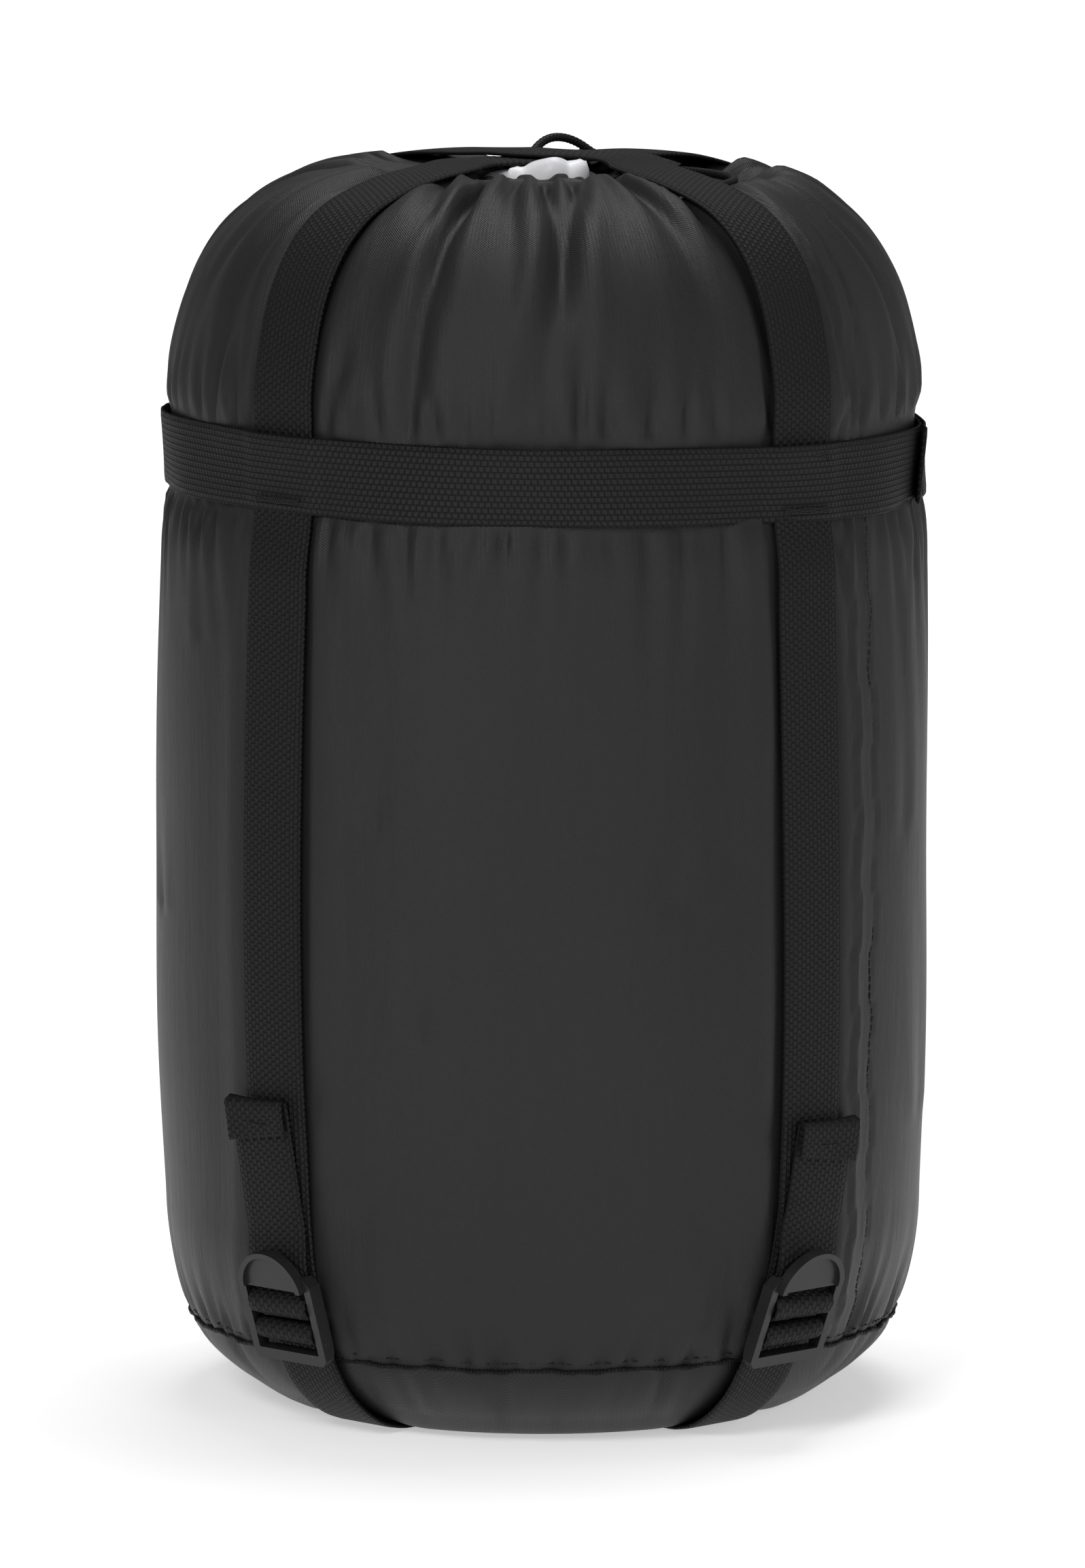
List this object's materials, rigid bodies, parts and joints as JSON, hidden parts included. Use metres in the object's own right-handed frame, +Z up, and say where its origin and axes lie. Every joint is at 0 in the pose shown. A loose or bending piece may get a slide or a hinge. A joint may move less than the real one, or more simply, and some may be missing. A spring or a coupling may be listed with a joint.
{
  "type": "compression sack",
  "caption": "Round drawstring stuff sack, packed full and standing on its base, with webbing straps run over the top and under the base and tightened by ladder-lock buckles",
  "frame": {"origin": "on the floor under the middle of the base", "axes": "+Z up along the sack's axis to the mouth, -Y out of the front, +X to the right as seen from the front"},
  "size_m": [0.2544, 0.254, 0.4139],
  "materials": {
    "sack_cloth": "satin",
    "webbing": "matte",
    "stitching": "matte",
    "packed_cloth": "satin",
    "cord": "matte",
    "buckle_plastic": "satin",
    "lock_plastic": "satin",
    "spring_steel": "satin"
  },
  "bodies": {
    "base": {"base_panel": "sack_cloth", "base_seam": "stitching", "wall_fabric": "sack_cloth", "side_seam": "sack_cloth", "contents_body": "packed_cloth", "bottom_strap_lower": "webbing", "bottom_strap_upper": "webbing", "leg_strap_front_left": "webbing", "leg_strap_front_right": "webbing", "leg_strap_back_left": "webbing", "leg_strap_back_right": "webbing"},
    "crown": {"crown_fabric": "sack_cloth", "mouth_hem": "sack_cloth", "contents_crown": "packed_cloth", "cross_strap_lower": "webbing", "cross_strap_upper": "webbing", "band": "webbing", "band_lap": "webbing", "bar_tacks": "stitching", "drawcord": "cord", "cord_knot": "cord"},
    "buckle_front_left": {"buckle_front_left": "buckle_plastic", "strap_wrap_front_left": "webbing"},
    "tail_front_left": {"tail_front_left": "webbing"},
    "buckle_front_right": {"buckle_front_right": "buckle_plastic", "strap_wrap_front_right": "webbing"},
    "tail_front_right": {"tail_front_right": "webbing"},
    "buckle_back_left": {"buckle_back_left": "buckle_plastic", "strap_wrap_back_left": "webbing"},
    "tail_back_left": {"tail_back_left": "webbing"},
    "buckle_back_right": {"buckle_back_right": "buckle_plastic", "strap_wrap_back_right": "webbing"},
    "tail_back_right": {"tail_back_right": "webbing"},
    "lock": {"lock_barrel": "lock_plastic", "lock_spring": "spring_steel"},
    "plunger": {"lock_plunger": "lock_plastic"}
  },
  "joints": [
    {"name": "compress", "type": "slide", "parent": "base", "child": "crown", "axis": [0, 0, -1], "range_m": [0, 0.085], "deforming": ["wall_fabric", "side_seam", "contents_body", "leg_strap_front_left", "leg_strap_front_right", "leg_strap_back_left", "leg_strap_back_right"]},
    {"name": "buckle_front_left_lift", "type": "hinge", "parent": "base", "child": "buckle_front_left", "pos_m": [-0.08466, -0.09271, 0.03771], "axis": [0.7385, -0.6743, 0], "range_deg": [0, 12]},
    {"name": "tail_front_left_slide", "type": "slide", "parent": "base", "child": "tail_front_left", "axis": [-0.0057, -0.0063, 1], "range_m": [0, 0.085], "deforming": ["tail_front_left"]},
    {"name": "buckle_front_right_lift", "type": "hinge", "parent": "base", "child": "buckle_front_right", "pos_m": [0.08466, -0.09271, 0.03771], "axis": [0.7385, 0.6743, 0], "range_deg": [0, 12]},
    {"name": "tail_front_right_slide", "type": "slide", "parent": "base", "child": "tail_front_right", "axis": [0.0057, -0.0063, 1], "range_m": [0, 0.085], "deforming": ["tail_front_right"]},
    {"name": "buckle_back_left_lift", "type": "hinge", "parent": "base", "child": "buckle_back_left", "pos_m": [-0.08466, 0.09271, 0.03771], "axis": [-0.7385, -0.6743, 0], "range_deg": [0, 12]},
    {"name": "tail_back_left_slide", "type": "slide", "parent": "base", "child": "tail_back_left", "axis": [-0.0057, 0.0063, 1], "range_m": [0, 0.085], "deforming": ["tail_back_left"]},
    {"name": "buckle_back_right_lift", "type": "hinge", "parent": "base", "child": "buckle_back_right", "pos_m": [0.08466, 0.09271, 0.03771], "axis": [-0.7385, 0.6743, 0], "range_deg": [0, 12]},
    {"name": "tail_back_right_slide", "type": "slide", "parent": "base", "child": "tail_back_right", "axis": [0.0057, 0.0063, 1], "range_m": [0, 0.085], "deforming": ["tail_back_right"]},
    {"name": "lock_slide", "type": "slide", "parent": "crown", "child": "lock", "axis": [0.766, -0.6428, 0], "range_m": [0, 0.005]},
    {"name": "plunger_press", "type": "slide", "parent": "lock", "child": "plunger", "axis": [-0.6428, -0.766, 0], "range_m": [0, 0.004], "stiffness_N_per_m": 800, "springref_m": -0.003, "deforming": ["lock_spring"]}
  ],
  "couplings": [
    {"joint": "tail_front_left_slide", "follows": "compress", "ratio": 1},
    {"joint": "tail_front_right_slide", "follows": "compress", "ratio": 1},
    {"joint": "tail_back_left_slide", "follows": "compress", "ratio": 1},
    {"joint": "tail_back_right_slide", "follows": "compress", "ratio": 1}
  ]
}
